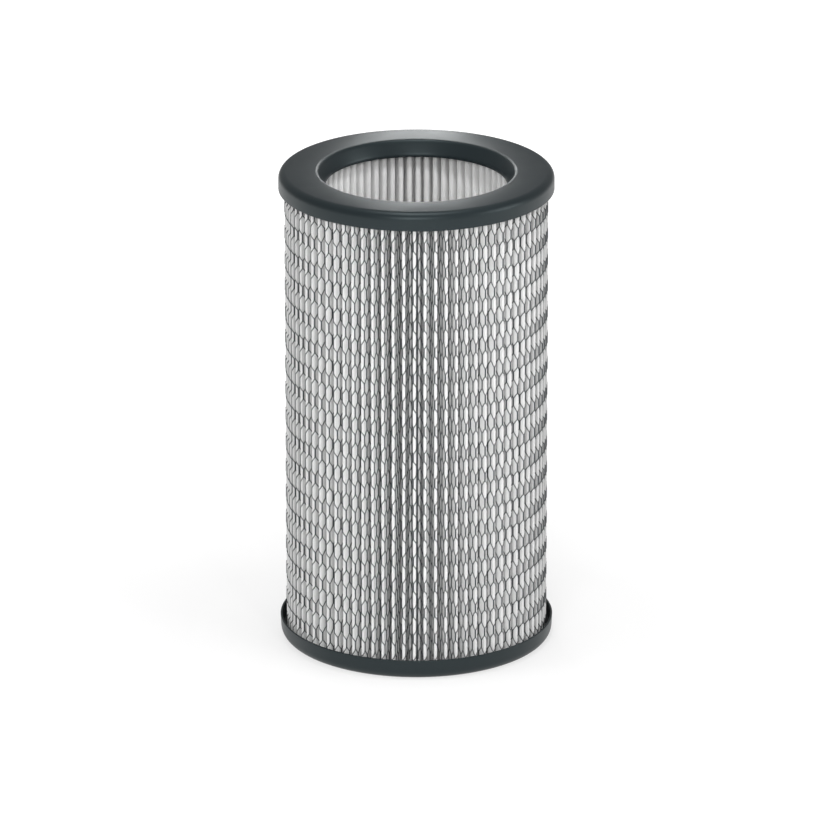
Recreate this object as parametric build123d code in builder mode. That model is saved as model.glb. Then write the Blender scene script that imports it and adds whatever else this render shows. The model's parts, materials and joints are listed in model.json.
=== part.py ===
from build123d import *
from math import asin, atan2, cos, degrees, hypot, pi, radians, sin, sqrt, tan
import os

# Pleated filter element: a folded media pack with a co-pleated support mesh, held by
# potting compound in two pressed end caps. +Z runs along the element, and the origin is
# the middle of the face that it stands on.

# ---- overall ----
element_height = 250.0
cap_diameter = 140.0
mouth_diameter = 100.0
throat_diameter = 92.0

# ---- end caps, pressed from sheet ----
cap_sheet = 1.0
top_skirt_height = 9.3
top_outer_bend = 4.0
mouth_bend = 2.5
throat_depth = 8.2
throat_lip = 1.5
bottom_rim_height = 10.5
bottom_bend = 5.0
bottom_rim_flare = 0.5

# ---- potting compound round the pleat ends ----
potting_depth = 3.0
bottom_potting_width = 20.0

# ---- folded pack, with its clearances to the caps' skirts ----
tip_clearance = 2.0
root_clearance = 1.5
pleat_pitch = 5.46
media_thickness = 0.6
mesh_thickness = 0.25
tip_bend = 0.5
root_bend = 1.0
tip_flat_count = 3
root_flat_count = 1

# ---- side seam, where the two ends of the folded sheets meet ----
seam_angle = 14.3
seam_glue = 0.2
clip_sheet = 0.4
clip_depth = 6.0

# ---- windows in the mesh, one along each outer fold ----
window_width = 1.2
window_end_margin = 10.0

# ---- worked out from the above ----
cap_radius = cap_diameter / 2
mouth_radius = mouth_diameter / 2
throat_radius = throat_diameter / 2
throat_bottom = element_height - throat_depth
throat_slope = atan2(mouth_radius - throat_radius, throat_depth - throat_lip)
pack_radius = cap_radius - cap_sheet - tip_clearance
pack_bore_radius = mouth_radius + cap_sheet + root_clearance
pleat_count = int(2 * pi * pack_radius / pleat_pitch)
pack_bottom = cap_sheet + potting_depth
pack_top = element_height - cap_sheet - potting_depth
pack_height = pack_top - pack_bottom
half_media = media_thickness / 2
half_pitch = pi / pleat_count
seam = radians(seam_angle)
tip_centre_radius = pack_radius - mesh_thickness - half_media - tip_bend
root_centre_radius = pack_bore_radius + half_media + root_bend
sheet_end_radius = pack_bore_radius + clip_sheet
seam_offset = seam_glue / 2 + mesh_thickness + half_media


def polar(radius, angle, side=0.0):
    """Point at a radius and an angle, moved sideways, square to the radius."""
    return Vector(radius * cos(angle) - side * sin(angle), radius * sin(angle) + side * cos(angle))


def flank_lean(far_end, far_bend):
    """Angle from the radius through an outer fold to the normal of a flank of that fold."""
    run = far_end - polar(tip_centre_radius, 0)
    return atan2(run.Y, run.X) - pi / 2 + asin((tip_bend + far_bend) / hypot(run.X, run.Y))


lean = flank_lean(polar(root_centre_radius, half_pitch), root_bend)
seam_lean = flank_lean(polar(sheet_end_radius, half_pitch, -seam_offset), 0)
seam_normal = seam_lean - half_pitch


def seam_side(shift, reach=0.0):
    """Distance from the seam plane to a sheet face, at a reach outward from the sheet's end."""
    return seam_offset - (shift - reach * cos(seam_normal)) / sin(seam_normal)


def creases(centre, bend, start, turn, flats):
    """Corners of a fold that turns the sheet in flats, each one square to a radius of the bend."""
    step = turn / (flats + 1)
    reach = bend / cos(step / 2)
    return [centre + polar(reach, start + (number + 0.5) * step) for number in range(flats + 1)]


def folded_line(shift):
    """One face of the folded sheets, moved outward from the middle of the media by shift.

    Its points run from the seam round all folds and back to the seam.
    """
    root_lean = lean - half_pitch
    points = [polar(sheet_end_radius, seam, seam_side(shift))]
    for index in range(pleat_count):
        angle = seam + (2 * index + 1) * half_pitch
        centre = polar(tip_centre_radius, angle)
        lean_in = seam_lean if index == 0 else lean
        lean_out = seam_lean if index == pleat_count - 1 else lean
        points += creases(centre, tip_bend + shift, angle - lean_in, lean_in + lean_out, tip_flat_count)
        if index < pleat_count - 1:
            angle += half_pitch
            centre = polar(root_centre_radius, angle)
            points += creases(centre, shift - root_bend, angle + root_lean, -2 * root_lean, root_flat_count)
    points.append(polar(sheet_end_radius, seam, -seam_side(shift)))
    return points


def folded_section(inner_shift, outer_shift):
    """Section of one folded sheet between two of its faces, closed by its two cut ends."""
    with BuildSketch(Plane.XY.offset(pack_bottom)) as section:
        with BuildLine():
            Polyline(*folded_line(inner_shift), *reversed(folded_line(outer_shift)), close=True)
        make_face()
    return section.sketch


# ---- sections of the caps, from the outer faces (inset 0) or the inner ones (inset cap_sheet) ----
def bend_corner(corner, radius, inset):
    """Round a corner of the outer faces, or cut the same corner of the inner faces at 45 degrees."""
    if inset == 0:
        fillet(corner, radius)
    else:
        chamfer(corner, (radius - inset) * (2 - sqrt(2)))


def channel_section(inset):
    """The top cap's channel, open below: a skirt outside and a tapered throat with a straight lip inside."""
    skirt_bottom = element_height - top_skirt_height
    middle_radius = (cap_radius + throat_radius) / 2
    with BuildSketch(Plane.XZ) as section:
        with BuildLine():
            Polyline(
                (throat_radius + inset, throat_bottom),
                (throat_radius + inset, throat_bottom + throat_lip - inset * tan(throat_slope / 2)),
                (mouth_radius + inset / cos(throat_slope) - inset * tan(throat_slope), element_height - inset),
                (cap_radius - inset, element_height - inset),
                (cap_radius - inset, skirt_bottom),
                (middle_radius, skirt_bottom),
                (middle_radius, throat_bottom),
                close=True,
            )
        make_face()
        upper = section.vertices().group_by(Axis.Y)[-1].sort_by(Axis.X)
        bend_corner(upper[-1], top_outer_bend, inset)
        if inset == 0:
            fillet(upper[0], mouth_bend)
    return section.sketch


def dish_section(inset):
    """Half of the bottom cap's dish, open above, with a flared rim and a bent corner."""
    rim_radius = cap_radius - inset
    floor_radius = rim_radius - bottom_rim_flare * (1 - inset / bottom_rim_height)
    with BuildSketch(Plane.XZ) as section:
        with BuildLine():
            Polyline(
                (0, inset),
                (floor_radius, inset),
                (rim_radius, bottom_rim_height),
                (0, bottom_rim_height),
                close=True,
            )
        make_face()
        corner = section.vertices().group_by(Axis.Y)[0].sort_by(Axis.X)[-1]
        bend_corner(corner, bottom_bend, inset)
    return section.sketch


# ---- top end cap: a pressed ring with a skirt outside and a tapered throat inside ----
with BuildPart() as top_end_cap:
    with BuildSketch(Plane.XZ):
        add(channel_section(0))
        add(channel_section(cap_sheet), mode=Mode.SUBTRACT)
    revolve(axis=Axis.Z)

# ---- bottom end cap: a pressed dish, closed below ----
with BuildPart() as bottom_end_cap:
    with BuildSketch(Plane.XZ):
        add(dish_section(0))
        add(dish_section(cap_sheet), mode=Mode.SUBTRACT)
    revolve(axis=Axis.Z)

# ---- potting: a ring in each cap, from the cap's sheet to the ends of the pack ----
with BuildPart() as top_potting:
    with BuildSketch(Plane.XZ):
        add(channel_section(cap_sheet))
        with Locations((0, pack_top)):
            Rectangle(cap_radius, potting_depth, align=(Align.MIN, Align.MIN), mode=Mode.INTERSECT)
    revolve(axis=Axis.Z)

with BuildPart() as bottom_potting:
    with BuildSketch(Plane.XZ):
        add(dish_section(cap_sheet))
        with Locations((cap_radius - cap_sheet - bottom_potting_width, cap_sheet)):
            Rectangle(cap_radius, potting_depth, align=(Align.MIN, Align.MIN), mode=Mode.INTERSECT)
    revolve(axis=Axis.Z)

# ---- pleated media: one sheet, folded ----
with BuildPart() as pleated_media:
    add(folded_section(-half_media, half_media))
    extrude(amount=pack_height)

# ---- support mesh: folded with the media, on its outer face, open along each outer fold ----
with BuildPart() as support_mesh:
    add(folded_section(half_media, half_media + mesh_thickness))
    extrude(amount=pack_height)
    with Locations((0, 0, pack_bottom + window_end_margin)):
        with PolarLocations(tip_centre_radius, pleat_count, degrees(seam + half_pitch)):
            Box(
                2 * tip_bend + media_thickness + 2 * mesh_thickness,
                window_width,
                pack_height - 2 * window_end_margin,
                align=(Align.MIN, Align.CENTER, Align.MIN),
                mode=Mode.SUBTRACT,
            )

# ---- seam clip: grips the two ends of the sheets from inside the pack ----
with BuildPart() as seam_clip:
    with BuildSketch(Plane.XY.offset(pack_bottom)):
        with BuildLine():
            clip_end = sheet_end_radius + clip_depth
            outer_shift = -half_media - clip_sheet
            Polyline(
                polar(sheet_end_radius, seam, seam_side(-half_media)),
                polar(clip_end, seam, seam_side(-half_media, clip_depth)),
                polar(clip_end, seam, seam_side(outer_shift, clip_depth)),
                polar(pack_bore_radius, seam, seam_side(outer_shift)),
                polar(pack_bore_radius, seam, -seam_side(outer_shift)),
                polar(clip_end, seam, -seam_side(outer_shift, clip_depth)),
                polar(clip_end, seam, -seam_side(-half_media, clip_depth)),
                polar(sheet_end_radius, seam, -seam_side(-half_media)),
                close=True,
            )
        make_face()
    extrude(amount=pack_height)

# ---- names and files ----
top_end_cap.part.label = "top_end_cap"
bottom_end_cap.part.label = "bottom_end_cap"
top_potting.part.label = "top_potting"
bottom_potting.part.label = "bottom_potting"
pleated_media.part.label = "pleated_media"
support_mesh.part.label = "support_mesh"
seam_clip.part.label = "seam_clip"

os.makedirs("parts", exist_ok=True)
export_step(top_end_cap.part, "parts/top_end_cap.step")
export_step(bottom_end_cap.part, "parts/bottom_end_cap.step")
export_step(top_potting.part, "parts/top_potting.step")
export_step(bottom_potting.part, "parts/bottom_potting.step")
export_step(pleated_media.part, "parts/pleated_media.step")
export_step(support_mesh.part, "parts/support_mesh.step")
export_step(seam_clip.part, "parts/seam_clip.step")
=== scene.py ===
import json
from math import asin, atan2, ceil, cos, hypot, pi, radians, sin, tan

import bpy
from mathutils import Matrix, Vector

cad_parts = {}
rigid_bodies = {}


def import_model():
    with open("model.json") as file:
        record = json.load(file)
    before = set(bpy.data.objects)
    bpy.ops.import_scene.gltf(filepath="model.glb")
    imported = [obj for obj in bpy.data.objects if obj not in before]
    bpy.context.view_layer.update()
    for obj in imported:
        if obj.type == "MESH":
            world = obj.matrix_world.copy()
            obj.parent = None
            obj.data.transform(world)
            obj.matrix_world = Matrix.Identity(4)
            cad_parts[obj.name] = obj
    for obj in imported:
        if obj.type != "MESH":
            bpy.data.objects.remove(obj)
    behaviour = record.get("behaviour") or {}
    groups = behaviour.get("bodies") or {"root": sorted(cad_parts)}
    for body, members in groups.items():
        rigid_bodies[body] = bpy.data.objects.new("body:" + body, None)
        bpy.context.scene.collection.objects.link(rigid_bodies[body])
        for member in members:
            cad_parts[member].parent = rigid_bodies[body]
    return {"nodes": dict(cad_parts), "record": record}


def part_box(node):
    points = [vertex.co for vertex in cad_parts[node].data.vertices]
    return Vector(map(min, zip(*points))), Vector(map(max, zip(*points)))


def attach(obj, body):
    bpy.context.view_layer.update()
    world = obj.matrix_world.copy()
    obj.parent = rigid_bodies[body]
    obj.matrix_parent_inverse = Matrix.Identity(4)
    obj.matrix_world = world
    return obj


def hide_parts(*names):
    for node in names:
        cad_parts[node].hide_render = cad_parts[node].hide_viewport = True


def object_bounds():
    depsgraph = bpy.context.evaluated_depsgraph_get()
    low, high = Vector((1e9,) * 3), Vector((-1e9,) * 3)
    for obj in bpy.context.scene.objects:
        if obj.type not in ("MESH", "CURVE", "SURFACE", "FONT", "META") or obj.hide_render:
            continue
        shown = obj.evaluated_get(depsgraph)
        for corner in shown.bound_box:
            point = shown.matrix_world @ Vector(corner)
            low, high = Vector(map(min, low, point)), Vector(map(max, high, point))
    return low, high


# A pleated filter element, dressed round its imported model: round folds of white media, a net of
# coated expanded mesh folded with them, and two pressed caps in satin enamel. Lengths in metres.

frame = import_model()
cad_low, cad_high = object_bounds()

MM = 0.001

# ---- sizes read from the frame ----
element_height = cad_high.z - cad_low.z
cap_radius = (cad_high.x - cad_low.x) / 2
throat = next(mount for mount in frame["record"]["mounts"] if mount["name"] == "top_opening")
throat_radius = throat["dims"]["r_mm"] * MM
throat_lip = throat["dims"]["length_mm"] * MM
throat_bottom = throat["pos_m"][2] - throat_lip / 2
pack_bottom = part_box("pleated_media")[0].z
pack_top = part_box("pleated_media")[1].z
top_skirt_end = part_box("top_end_cap")[0].z
bottom_rim_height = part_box("bottom_end_cap")[1].z

# ---- caps ----
cap_sheet = 1.0 * MM
mouth_radius = 50.0 * MM
top_outer_bend = 4.0 * MM
mouth_bend = 2.5 * MM
throat_bend = 3.0 * MM
bottom_bend = 5.0 * MM
bottom_rim_flare = 0.5 * MM
sheet_edge_round = 0.25 * MM
cap_segments = 254
bend_step = radians(11)
sharp_edge = radians(40)

# ---- folded pack ----
tip_clearance = 2.0 * MM
root_clearance = 1.5 * MM
pleat_count = 77
media_thickness = 0.6 * MM
mesh_thickness = 0.25 * MM
tip_bend = 0.5 * MM
root_bend = 1.0 * MM
seam_angle = radians(14.3)
seam_glue = 0.2 * MM
clip_sheet = 0.4 * MM
bend_steps = 6
root_steps = 5
media_levels = 9
fold_wander = 0.16 * MM
wander_width = 8 * MM
wander_length = 55 * MM
wander_seed = 3.0
join_distance = 0.002 * MM

# ---- expanded mesh: long cells along the element, beside the middle of each fold by mesh_shift cells ----
half_cells = 6
mesh_row_pitch = 7.0 * MM
mesh_first_row = 3.3 * MM
bond_length = 3.8 * MM
bond_width = 0.66 * MM
strand_width = 0.4 * MM
mesh_shift = -0.24
mesh_sectors = 4

# ---- worked out ----
pack_radius = cap_radius - cap_sheet - tip_clearance
pack_bore_radius = mouth_radius + cap_sheet + root_clearance
throat_slope = atan2(mouth_radius - throat_radius, element_height - throat_bottom - throat_lip)
half_pitch = pi / pleat_count
tip_centre = Vector((pack_radius - mesh_thickness - media_thickness / 2 - tip_bend, 0))
sheet_end_radius = pack_bore_radius + clip_sheet
seam_offset = seam_glue / 2 + mesh_thickness + media_thickness / 2
mesh_offset = (media_thickness + mesh_thickness) / 2


# ======================================================================
# Materials
# ======================================================================
def linear(hex_colour):
    """sRGB hex as the linear colour that the sockets take."""
    channels = [int(hex_colour[place:place + 2], 16) / 255 for place in (1, 3, 5)]
    return (*[c / 12.92 if c <= 0.04045 else ((c + 0.055) / 1.055) ** 2.4 for c in channels], 1)


def add_node(tree, kind, inputs=None, **settings):
    """A node with its settings applied and its inputs, by name or number, linked or set."""
    node = tree.nodes.new(kind)
    for name, value in settings.items():
        setattr(node, name, value)
    for name, value in (inputs or {}).items():
        if isinstance(value, bpy.types.NodeSocket):
            tree.links.new(value, node.inputs[name])
        else:
            node.inputs[name].default_value = value
    return node


def start_material(name, colour, roughness):
    """A principled material, with its tree, its shader and the object's own coordinates."""
    material = bpy.data.materials.new(name)
    material.use_nodes = True
    tree = material.node_tree
    shader = tree.nodes["Principled BSDF"]
    shader.inputs["Base Color"].default_value = linear(colour)
    shader.inputs["Roughness"].default_value = roughness
    place = add_node(tree, "ShaderNodeTexCoord").outputs["Object"]
    return material, tree, shader, place


def grain(tree, place, size, detail=2.0, stretch=(1, 1, 1)):
    """Noise whose lumps are about one size across, from 0 to 1."""
    spread = add_node(tree, "ShaderNodeMapping", {"Vector": place, "Scale": [s / size for s in stretch]})
    noise = {"Vector": spread.outputs[0], "Scale": 1.0, "Detail": detail}
    return add_node(tree, "ShaderNodeTexNoise", noise).outputs[0]


# Pressed steel in satin slate enamel: the faint orange peel of a sprayed coat.
enamel, tree, shader, place = start_material("satin_enamel_on_pressed_steel", "#12191C", 0.4)
shader.inputs["Specular Tint"].default_value = linear("#EAFCFF")
peel = grain(tree, place, 1.6 * MM)
handling = grain(tree, place, 35 * MM, 4)
dulling = {0: handling, 1: 0.3, 2: 0.7, 3: 0.38, 4: 0.46}
tree.links.new(add_node(tree, "ShaderNodeMapRange", dulling).outputs[0], shader.inputs["Roughness"])
bump = add_node(tree, "ShaderNodeBump", {"Height": peel, "Strength": 0.25, "Distance": 0.02 * MM})
tree.links.new(bump.outputs[0], shader.inputs["Normal"])

# White resin-bonded filter fibre: matt, slightly uneven, with a felted surface.
fibre, tree, shader, place = start_material("white_filter_fibre", "#F2F2F1", 0.9)
felt = grain(tree, place, 0.35 * MM, 3)
cloud = grain(tree, place, 6 * MM, 3, (1, 1, 0.4))
tint = {0: cloud, 6: linear("#EEEEED"), 7: linear("#F6F6F6")}
tinted = add_node(tree, "ShaderNodeMix", tint, data_type="RGBA")
tree.links.new(tinted.outputs[2], shader.inputs["Base Color"])
bump = add_node(tree, "ShaderNodeBump", {"Height": felt, "Strength": 0.4, "Distance": 0.05 * MM})
tree.links.new(bump.outputs[0], shader.inputs["Normal"])
shader.inputs["Subsurface Weight"].default_value = 0.6
shader.inputs["Subsurface Radius"].default_value = (1, 1, 1)
shader.inputs["Subsurface Scale"].default_value = 1.2 * MM

# Expanded steel mesh, dipped in grey epoxy: satin, with slightly thicker and thinner spots.
coating, tree, shader, place = start_material("grey_epoxy_on_expanded_steel", "#42474A", 0.45)
patch = grain(tree, place, 5 * MM, 2)
tint = {0: patch, 6: linear("#3A3F42"), 7: linear("#4A4F52")}
tinted = add_node(tree, "ShaderNodeMix", tint, data_type="RGBA")
tree.links.new(tinted.outputs[2], shader.inputs["Base Color"])

# Cast black polyurethane, which creeps a little up the folds.
potting, tree, shader, place = start_material("black_cast_polyurethane", "#17181A", 0.35)
ripple = grain(tree, place, 4 * MM)
bump = add_node(tree, "ShaderNodeBump", {"Height": ripple, "Strength": 0.4, "Distance": 0.2 * MM})
tree.links.new(bump.outputs[0], shader.inputs["Normal"])

# Zinc-plated clip steel, drawn lengthwise.
clip_steel, tree, shader, place = start_material("zinc_plated_clip_steel", "#B9BCBE", 0.35)
shader.inputs["Metallic"].default_value = 1.0
drawn = grain(tree, place, 0.3 * MM, 2, (1, 1, 0.02))
bump = add_node(tree, "ShaderNodeBump", {"Height": drawn, "Strength": 0.3, "Distance": 0.01 * MM})
tree.links.new(bump.outputs[0], shader.inputs["Normal"])


# ======================================================================
# One fold
# ======================================================================
def polar(radius, angle, side=0.0):
    """Point at a radius and an angle, moved sideways, square to the radius."""
    return Vector((radius * cos(angle) - side * sin(angle), radius * sin(angle) + side * cos(angle)))


def flank_lean(far_end, far_bend):
    """Angle from the radius through an outer fold to the normal of a flank of that fold."""
    run = far_end - tip_centre
    return atan2(run.y, run.x) - pi / 2 + asin((tip_bend + far_bend) / hypot(run.x, run.y))


root_centre = polar(pack_bore_radius + media_thickness / 2 + root_bend, half_pitch)
lean = flank_lean(root_centre, root_bend)
seam_lean = flank_lean(polar(sheet_end_radius, half_pitch, -seam_offset), 0)


def flank_run(offset, at_seam):
    """Length of the straight flank of a sheet face, from the outer fold's bend."""
    if not at_seam:
        return (root_centre - tip_centre).dot(polar(1, lean + pi / 2))
    side = seam_offset - offset / sin(seam_lean - half_pitch)
    return (polar(sheet_end_radius, half_pitch, -side) - tip_centre).dot(polar(1, seam_lean + pi / 2))


def half_length(offset, at_seam):
    """Length of half a fold along a sheet, from the middle of the outer fold to its end."""
    if at_seam:
        return (tip_bend + offset) * seam_lean + flank_run(offset, True)
    return (tip_bend + offset) * lean + flank_run(offset, False) + (root_bend - offset) * (lean - half_pitch)


def fold_point(along, offset, sheet_offset, at_seam):
    """Point of a fold on the X axis, at a share of its half length and an offset from the media's middle."""
    turn = seam_lean if at_seam else lean
    travel = abs(along) * half_length(sheet_offset, at_seam)
    bend_part = (tip_bend + sheet_offset) * turn
    flank_part = flank_run(sheet_offset, at_seam)
    if travel <= bend_part:
        point = tip_centre + polar(tip_bend + offset, travel / bend_part * turn)
    elif travel <= bend_part + flank_part or at_seam:
        reach = (travel - bend_part) / flank_part * flank_run(offset, at_seam)
        point = tip_centre + polar(tip_bend + offset, turn) + polar(reach, turn + pi / 2)
    else:
        normal = turn - (travel - bend_part - flank_part) / (root_bend - sheet_offset)
        point = root_centre - polar(root_bend - offset, normal)
    return point.x, point.y if along >= 0 else -point.y


def media_pattern():
    """Flat pattern of one fold of media: points (share of the half fold, height) and faces."""
    length = half_length(0, False)
    bend_share = tip_bend * lean / length
    root_share = root_bend * (lean - half_pitch) / length
    half = [bend_share * step / bend_steps for step in range(bend_steps + 1)] + [0.5]
    half += [1 - root_share * (1 - step / root_steps) for step in range(root_steps + 1)]
    shares = [-share for share in reversed(half[1:])] + half
    points = [
        (share, pack_bottom + (pack_top - pack_bottom) * level / (media_levels - 1))
        for share in shares
        for level in range(media_levels)
    ]
    faces = []
    for column in range(len(shares) - 1):
        for level in range(media_levels - 1):
            low = column * media_levels + level
            faces.append((low, low + media_levels, low + media_levels + 1, low + 1))
    return points, faces


def net_pattern():
    """Flat pattern of one fold of expanded mesh: bonds in alternate cells of each row, joined by strands."""
    step = half_length(mesh_offset, False) / half_cells
    slope = Vector((step, mesh_row_pitch - bond_length)).normalized()
    fork_rise = strand_width / 2 / slope.x
    corner_rise = (bond_width - strand_width * slope.y) / 2 / slope.x * slope.y - strand_width / 2 * slope.x
    points, places, faces = [], {}, []

    def corner(cell, row, side, end):
        """Corner of a bond: side is -1, 0 for the fork between two strands, or 1; end is -1 or 1."""
        if (cell, row, side, end) not in places:
            places[cell, row, side, end] = len(points)
            rise = bond_length / 2 + (corner_rise if side else fork_rise)
            height = pack_bottom + mesh_first_row + row * mesh_row_pitch + end * rise
            across = (cell + mesh_shift) / half_cells + side * bond_width / 2 / (half_cells * step)
            points.append((across, min(max(height, pack_bottom), pack_top)))
        return places[cell, row, side, end]

    def strand(low, high, cuts):
        """Faces of a slanted strand, cut at shares of its length so that it follows a bend."""
        rails = [low]
        for cut in cuts:
            for start, end in zip(low, high):
                points.append(tuple(a + (b - a) * cut for a, b in zip(points[start], points[end])))
            rails.append((len(points) - 2, len(points) - 1))
        rails.append(high)
        for (a, b), (c, d) in zip(rails, rails[1:]):
            faces.append((a, b, d, c))

    rows = int((pack_top - pack_bottom - mesh_first_row) / mesh_row_pitch) + 1
    for row in range(rows):
        for cell in range(-half_cells + row % 2, half_cells + 1, 2):
            for side in (-1, 1):
                if abs(cell + side) > half_cells:
                    continue
                left, right = min(side, 0), max(side, 0)
                low = corner(cell, row, left, 1), corner(cell, row, right, 1)
                faces.append((corner(cell, row, left, -1), corner(cell, row, right, -1), low[1], low[0]))
                if row + 1 == rows:
                    continue
                high = corner(cell + side, row + 1, -right, -1), corner(cell + side, row + 1, -left, -1)
                at_tip = 0 in (cell, cell + side)
                at_root = half_cells in (abs(cell), abs(cell + side))
                root_cut = 2 / 3 if abs(cell + side) == half_cells else 1 / 3
                strand(low, high, (1 / 3, 2 / 3) if at_tip else (root_cut,) if at_root else ())
    return points, faces


def folded_unit(name, pattern, sheet_offset, thickness, ends):
    """One fold of a sheet with its thickness. Each end meets the next fold, is cut, or reaches the seam."""
    flat, faces = pattern
    lines = min(along for along, height in flat), max(along for along, height in flat)
    points = []
    for offset in (sheet_offset + thickness / 2, sheet_offset - thickness / 2):
        for along, height in flat:
            at_seam = ends[along > 0] == "seam"
            share = along / abs(lines[along > 0]) if at_seam else along
            points.append((*fold_point(share, offset, sheet_offset, at_seam), height))
    back = len(flat)
    edges = {(a, b) for face in faces for a, b in zip(face, face[1:] + face[:1])}
    solid = [*faces, *(tuple(back + corner for corner in reversed(face)) for face in faces)]
    for a, b in sorted(edges):
        line = lines[flat[a][0] > 0]
        on_line = max(abs(flat[a][0] - line), abs(flat[b][0] - line)) < 0.0001
        if (b, a) in edges or on_line and ends[flat[a][0] > 0] == "fold":
            continue
        solid.append((b, a, back + a, back + b))
    mesh = bpy.data.meshes.new(name)
    mesh.from_pydata(points, [], solid)
    return bpy.data.objects.new(name, mesh)


# ======================================================================
# Folds set round the element
# ======================================================================
def ring_tree():
    """Nodes that set folds round a ring, join them, and let them wander a little as folded sheet does."""
    tree = bpy.data.node_groups.new("folds_round_a_ring", "GeometryNodeTree")
    tree.interface.new_socket("Folds", in_out="OUTPUT", socket_type="NodeSocketGeometry")
    for name, kind in (
        ("Units", "Collection"), ("Fold Count", "Int"), ("First Angle", "Float"), ("Pitch", "Float"),
        ("Wander", "Float"), ("Seed", "Float"), ("Finish", "Material"),
    ):
        tree.interface.new_socket(name, in_out="INPUT", socket_type="NodeSocket" + kind)
    given = add_node(tree, "NodeGroupInput").outputs
    number = add_node(tree, "GeometryNodeInputIndex").outputs[0]
    last = add_node(tree, "ShaderNodeMath", {0: given["Fold Count"], 1: 1.0}, operation="SUBTRACT")
    is_first = add_node(tree, "ShaderNodeMath", {0: number, 1: 0.0, 2: 0.5}, operation="COMPARE")
    is_last = add_node(tree, "ShaderNodeMath", {0: number, 1: last.outputs[0], 2: 0.5}, operation="COMPARE")
    unit = {0: is_last.outputs[0], 1: 2.0, 2: is_first.outputs[0]}
    unit = add_node(tree, "ShaderNodeMath", unit, operation="MULTIPLY_ADD")
    angle = {0: number, 1: given["Pitch"], 2: given["First Angle"]}
    angle = add_node(tree, "ShaderNodeMath", angle, operation="MULTIPLY_ADD")
    turned = add_node(tree, "ShaderNodeCombineXYZ", {"Z": angle.outputs[0]})
    turned = add_node(tree, "FunctionNodeEulerToRotation", {0: turned.outputs[0]})
    units = {"Collection": given["Units"], "Separate Children": True, "Reset Children": False}
    placed = {
        "Points": add_node(tree, "GeometryNodePoints", {"Count": given["Fold Count"]}).outputs[0],
        "Instance": add_node(tree, "GeometryNodeCollectionInfo", units).outputs[0],
        "Pick Instance": True,
        "Instance Index": unit.outputs[0],
        "Rotation": turned.outputs[0],
    }
    placed = add_node(tree, "GeometryNodeInstanceOnPoints", placed)
    joined = add_node(tree, "GeometryNodeRealizeInstances", {0: placed.outputs[0]})
    joined = {"Geometry": joined.outputs[0], "Distance": join_distance}
    joined = add_node(tree, "GeometryNodeMergeByDistance", joined)
    place = add_node(tree, "GeometryNodeInputPosition").outputs[0]
    coarse = {0: place, 1: (1 / wander_width, 1 / wander_width, 1 / wander_length)}
    coarse = add_node(tree, "ShaderNodeVectorMath", coarse, operation="MULTIPLY")
    noise = {"Vector": coarse.outputs[0], "W": given["Seed"], "Scale": 1.0, "Detail": 1.0}
    noise = add_node(tree, "ShaderNodeTexNoise", noise, noise_dimensions="4D")
    centred = {0: noise.outputs[1], 1: (0.5, 0.5, 0.5)}
    centred = add_node(tree, "ShaderNodeVectorMath", centred, operation="SUBTRACT")
    sideways = {0: centred.outputs[0], 1: (2, 2, 0)}
    sideways = add_node(tree, "ShaderNodeVectorMath", sideways, operation="MULTIPLY")
    moved = {0: sideways.outputs[0], "Scale": given["Wander"]}
    moved = add_node(tree, "ShaderNodeVectorMath", moved, operation="SCALE")
    shaped = {"Geometry": joined.outputs[0], "Offset": moved.outputs[0]}
    shaped = add_node(tree, "GeometryNodeSetPosition", shaped)
    finished = {"Geometry": shaped.outputs[0], "Material": given["Finish"]}
    finished = add_node(tree, "GeometryNodeSetMaterial", finished)
    add_node(tree, "NodeGroupOutput", {0: finished.outputs[0]})
    return tree


folds_round_a_ring = ring_tree()


def ring_of_folds(name, first, count, pattern, sheet_offset, thickness, finish):
    """A run of folds of one sheet as a plain mesh, with its cut ends or its side seam closed."""
    start = "seam" if first == 0 else "cut"
    end = "seam" if first + count == pleat_count else "cut"
    units = bpy.data.collections.new(name + "_units")
    bpy.context.scene.collection.children.link(units)
    for letter, ends in (("a", ("fold", "fold")), ("b", (start, "fold")), ("c", ("fold", end))):
        units.objects.link(folded_unit(f"{letter}_{name}", pattern, sheet_offset, thickness, ends))
    piece = bpy.data.objects.new(name, bpy.data.meshes.new(name))
    bpy.context.scene.collection.objects.link(piece)
    modifier = piece.modifiers.new("folds", "NODES")
    modifier.node_group = folds_round_a_ring
    values = {
        "Units": units, "Fold Count": count, "First Angle": seam_angle + (2 * first + 1) * half_pitch,
        "Pitch": 2 * half_pitch, "Wander": fold_wander, "Seed": wander_seed, "Finish": finish,
    }
    for socket in folds_round_a_ring.interface.items_tree:
        if socket.in_out == "INPUT":
            modifier[socket.identifier] = values[socket.name]
    bpy.context.view_layer.update()
    shaped = piece.evaluated_get(bpy.context.evaluated_depsgraph_get())
    mesh = bpy.data.meshes.new_from_object(shaped)
    piece.modifiers.remove(modifier)
    piece.data = mesh
    for unit in list(units.objects):
        bpy.data.objects.remove(unit)
    bpy.data.collections.remove(units)
    mesh.shade_smooth()
    mesh.set_sharp_from_angle(angle=sharp_edge)
    return piece


# ======================================================================
# Pressed caps
# ======================================================================
def rounded(corners):
    """Section points (radius, height) with each corner rounded to its own bend."""
    points = []
    for index, (corner, bend) in enumerate(corners):
        corner = Vector(corner)
        if not bend:
            points.append(corner)
            continue
        before = (Vector(corners[index - 1][0]) - corner).normalized()
        after = (Vector(corners[(index + 1) % len(corners)][0]) - corner).normalized()
        turn = pi - before.angle(after)
        centre = corner + (before + after).normalized() * bend / cos(turn / 2)
        arm = corner + before * bend * tan(turn / 2) - centre
        way = 1 if before.y * after.x > before.x * after.y else -1
        steps = max(3, ceil(turn / bend_step))
        points += [centre + Matrix.Rotation(way * turn * step / steps, 2) @ arm for step in range(steps + 1)]
    return points


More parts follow.
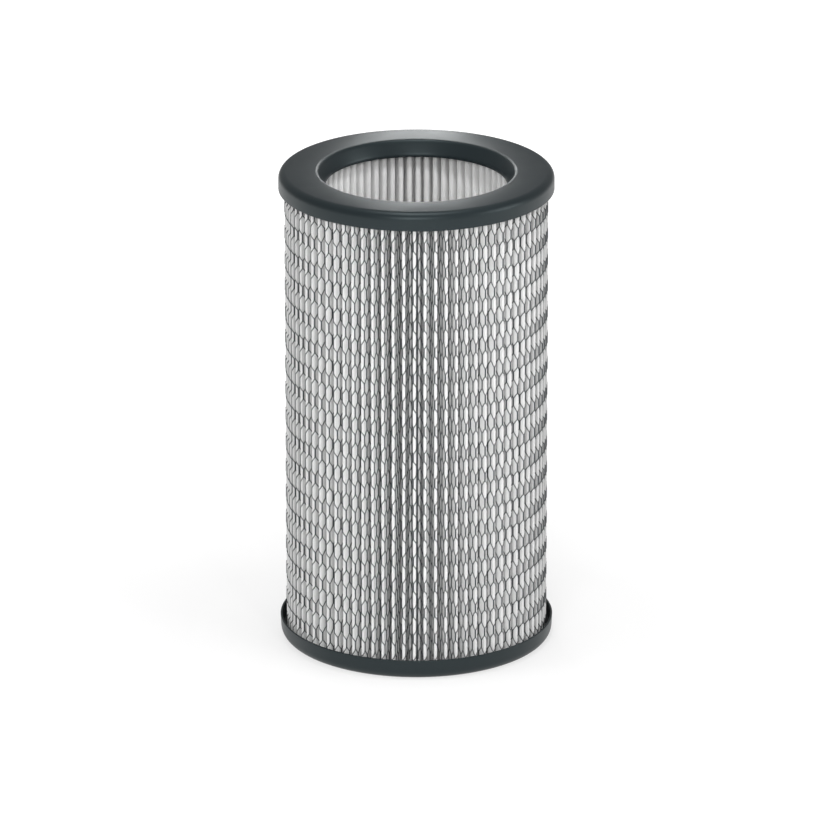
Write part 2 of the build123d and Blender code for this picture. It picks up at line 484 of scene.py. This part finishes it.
def turned(name, section, closed, finish):
    """A section turned round the Z axis. It runs with the material on its left."""
    points, rings, faces = [], [], []
    for radius, height in section:
        if radius < 0.001 * MM:
            rings.append([len(points)] * cap_segments)
            points.append((0, 0, height))
            continue
        rings.append(list(range(len(points), len(points) + cap_segments)))
        points += [(*polar(radius, 2 * pi * step / cap_segments), height) for step in range(cap_segments)]
    for low, high in zip(rings, rings[1:] + rings[:1] if closed else rings[1:]):
        for step in range(cap_segments):
            after = (step + 1) % cap_segments
            corners = (low[step], low[after], high[after], high[step])
            faces.append(tuple(dict.fromkeys(corners)))
    mesh = bpy.data.meshes.new(name)
    mesh.from_pydata(points, [], faces)
    mesh.materials.append(finish)
    mesh.shade_smooth()
    mesh.set_sharp_from_angle(angle=sharp_edge)
    piece = bpy.data.objects.new(name, mesh)
    bpy.context.scene.collection.objects.link(piece)
    return piece


mouth_back = mouth_radius + cap_sheet * (1 / cos(throat_slope) - tan(throat_slope))
throat_back = throat_radius + cap_sheet
lip_top = throat_bottom + throat_lip
top_section = rounded([
    ((cap_radius, top_skirt_end), sheet_edge_round),
    ((cap_radius, element_height), top_outer_bend),
    ((mouth_radius, element_height), mouth_bend),
    ((throat_radius, lip_top), throat_bend),
    ((throat_radius, throat_bottom), sheet_edge_round),
    ((throat_back, throat_bottom), sheet_edge_round),
    ((throat_back, lip_top - cap_sheet * tan(throat_slope / 2)), throat_bend - cap_sheet),
    ((mouth_back, element_height - cap_sheet), mouth_bend - cap_sheet),
    ((cap_radius - cap_sheet, element_height - cap_sheet), top_outer_bend - cap_sheet),
    ((cap_radius - cap_sheet, top_skirt_end), sheet_edge_round),
])
bottom_section = rounded([
    ((0, 0), 0),
    ((cap_radius - bottom_rim_flare, 0), bottom_bend),
    ((cap_radius, bottom_rim_height), sheet_edge_round),
    ((cap_radius - cap_sheet, bottom_rim_height), sheet_edge_round),
    ((cap_radius - cap_sheet - bottom_rim_flare, cap_sheet), bottom_bend - cap_sheet),
    ((0, cap_sheet), 0),
])

# ======================================================================
# Pieces, each on the element's one body
# ======================================================================
dressed = [
    (turned("top_cap_pressing", top_section, True, enamel), "top_end_cap", "cap_enamel"),
    (turned("bottom_cap_pressing", bottom_section, False, enamel), "bottom_end_cap", "cap_enamel"),
]
media = ring_of_folds("folded_media", 0, pleat_count, media_pattern(), 0, media_thickness, fibre)
dressed.append((media, "pleated_media", "filter_media"))
net = net_pattern()
for sector in range(mesh_sectors):
    name = f"expanded_mesh_{sector + 1}"
    first = pleat_count * sector // mesh_sectors
    count = pleat_count * (sector + 1) // mesh_sectors - first
    side = ring_of_folds(name, first, count, net, mesh_offset, mesh_thickness, coating)
    dressed.append((side, "support_mesh", "mesh_coating"))

for piece, node, slot in dressed:
    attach(piece, "root")
    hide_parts(node)

for node, finish in (("top_potting", potting), ("bottom_potting", potting), ("seam_clip", clip_steel)):
    for place in frame["nodes"][node].material_slots:
        place.material = finish


# ======================================================================
# Floor, light and camera
# ======================================================================
# A pale floor, just under the element, that stays white behind it and keeps its soft shadow.
floor_half_width = 3.0
floor_drop = 0.1 * MM
shadow_start = 0.12
shadow_end = 0.5
near_white = 0.67
floor_finish, tree, shader, place = start_material("white_studio_floor", "#959595", 0.9)
rays = add_node(tree, "ShaderNodeLightPath").outputs
shown = {0: rays["Is Camera Ray"], 1: rays["Is Glossy Ray"]}
shown = add_node(tree, "ShaderNodeMath", shown, operation="ADD")
shown = {0: shown.outputs[0], 1: rays["Is Transmission Ray"]}
shown = add_node(tree, "ShaderNodeMath", shown, operation="ADD", use_clamp=True)
reach = add_node(tree, "ShaderNodeVectorMath", {0: place}, operation="LENGTH").outputs[1]
white = {0: reach, 1: shadow_start, 2: shadow_end, 3: near_white, 4: 1.0}
white = add_node(tree, "ShaderNodeMapRange", white).outputs[0]
white = add_node(tree, "ShaderNodeMath", {0: shown.outputs[0], 1: white}, operation="MULTIPLY")
shader.inputs["Emission Color"].default_value = (1, 1, 1, 1)
tree.links.new(white.outputs[0], shader.inputs["Emission Strength"])
floor_mesh = bpy.data.meshes.new("floor")
floor_corners = [
    (x * floor_half_width, y * floor_half_width, -floor_drop)
    for x, y in ((-1, -1), (1, -1), (1, 1), (-1, 1))
]
floor_mesh.from_pydata(floor_corners, [], [(0, 1, 2, 3)])
floor_mesh.materials.append(floor_finish)
floor = bpy.data.objects.new("floor", floor_mesh)
bpy.context.scene.collection.objects.link(floor)

world = bpy.data.worlds.new("studio")
world.use_nodes = True
world.node_tree.nodes["Background"].inputs["Color"].default_value = (1, 1, 1, 1)
world.node_tree.nodes["Background"].inputs["Strength"].default_value = 0.36
bpy.context.scene.world = world


def softbox(name, centre, width, height, power, target, glints=True):
    """A soft rectangular lamp that faces its target and isn't seen itself, or not even as a glint."""
    lamp = bpy.data.lights.new(name, "AREA")
    lamp.shape = "RECTANGLE"
    lamp.size = width
    lamp.size_y = height
    lamp.energy = power
    lit = bpy.data.objects.new(name, lamp)
    lit.location = centre
    lit.rotation_euler = (Vector(target) - Vector(centre)).to_track_quat("-Z", "Y").to_euler()
    lit.visible_camera = False
    lit.visible_glossy = glints
    bpy.context.scene.collection.objects.link(lit)


middle = (0, 0, element_height / 2)
ring_back = (0, 0.05, element_height)
bore_back = (-0.01, 0.05, 0.22)
softbox("front_softbox", (-0.1, -2.1, 1.15), 0.6, 0.5, 14, middle)
softbox("left_fill", (-2.0, -0.5, 0.8), 0.8, 0.8, 14, middle, glints=False)
softbox("right_fill", (2.0, -0.5, 0.8), 0.8, 0.8, 12, middle)
softbox("back_softbox", (-0.5, 2.0, 1.3), 0.9, 0.9, 10, middle, glints=False)
softbox("top_softbox", (0, 0, 1.7), 0.35, 0.35, 6, middle)
softbox("edge_lamp", (0, 0.23, 0.315), 0.05, 0.05, 0.06, ring_back)
softbox("near_strip", (0.01, -0.2, 0.15), 0.02, 0.3, 0.14, (0.01, 0, 0.15), glints=False)
softbox("opening_lamp", (0.05, -0.12, 0.45), 0.05, 0.05, 0.35, bore_back, glints=False)

camera_rise = radians(19.92)
camera_distance = 4.322
camera = bpy.data.objects.new("camera", bpy.data.cameras.new("camera"))
camera.data.lens = 364.8
camera.data.sensor_width = 36
aim = Vector((0.3 * MM, 0, element_height / 2 - 7.95 * MM))
back = Vector((0, -cos(camera_rise), sin(camera_rise)))
camera.location = aim + back * camera_distance
camera.rotation_euler = (-back).to_track_quat("-Z", "Y").to_euler()
bpy.context.scene.collection.objects.link(camera)
bpy.context.scene.camera = camera
bpy.context.scene.view_settings.view_transform = "Standard"
